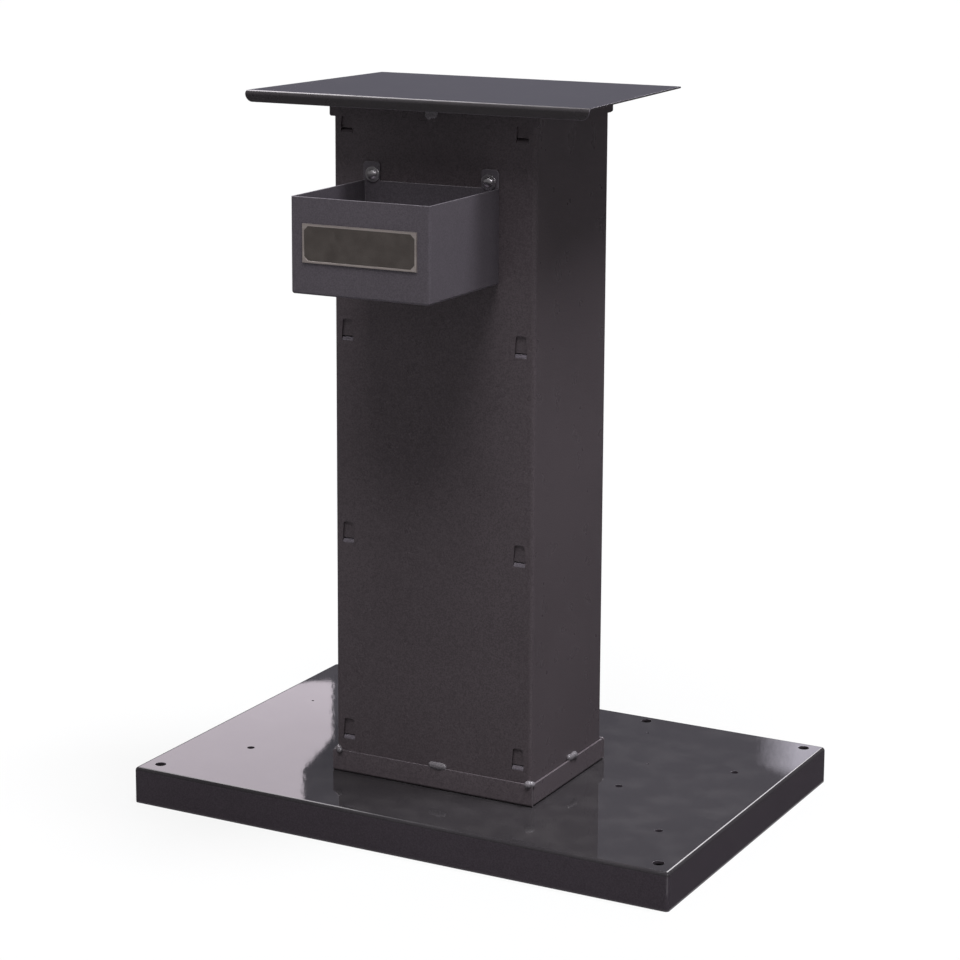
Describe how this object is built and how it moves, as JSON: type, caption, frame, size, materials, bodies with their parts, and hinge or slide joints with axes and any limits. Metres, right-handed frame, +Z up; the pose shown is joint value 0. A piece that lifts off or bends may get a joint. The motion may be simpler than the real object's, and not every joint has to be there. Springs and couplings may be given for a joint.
{
  "type": "bench grinder stand",
  "caption": "Floor-standing pedestal for a bench grinder: folded steel column on a wide drilled base, with a lipped top plate and an open parts tray on the front.",
  "frame": {"origin": "on the floor, under the middle of the whole stand: halfway between the base plate's sides, and halfway from the tray's front to the base plate's back", "axes": "+X to the right along the front, +Y to the back, +Z up"},
  "size_m": [0.687, 0.5182, 0.844],
  "materials": {
    "charcoal_paint": "satin charcoal enamel with fine orange peel",
    "painted_weld": "tack and plug welds painted over",
    "zinc_plated_steel": "bright zinc plate",
    "etched_nameplate": "etched plate with a plain dark field and a pale rim"
  },
  "bodies": {
    "root": {"base_plate": "charcoal_paint", "foot_pan": "charcoal_paint", "foot_bolts": "zinc_plated_steel", "foot_bolt_washers": "zinc_plated_steel", "foot_bolt_nuts": "zinc_plated_steel", "foot_tack_welds": "painted_weld", "column_wrap": "charcoal_paint", "left_corner_stiffener": "charcoal_paint", "right_corner_stiffener": "charcoal_paint", "rear_cover": "charcoal_paint", "cover_screws": "zinc_plated_steel", "cover_weld_nuts": "zinc_plated_steel", "head_pan": "charcoal_paint", "head_tack_welds": "painted_weld", "top_plate": "charcoal_paint", "top_plate_studs": "zinc_plated_steel", "stud_washers": "zinc_plated_steel", "stud_nuts": "zinc_plated_steel", "parts_tray": "charcoal_paint", "tray_screws": "zinc_plated_steel", "tray_washers": "zinc_plated_steel", "tray_nuts": "zinc_plated_steel", "nameplate_blank": "etched_nameplate"}
  },
  "joints": []
}
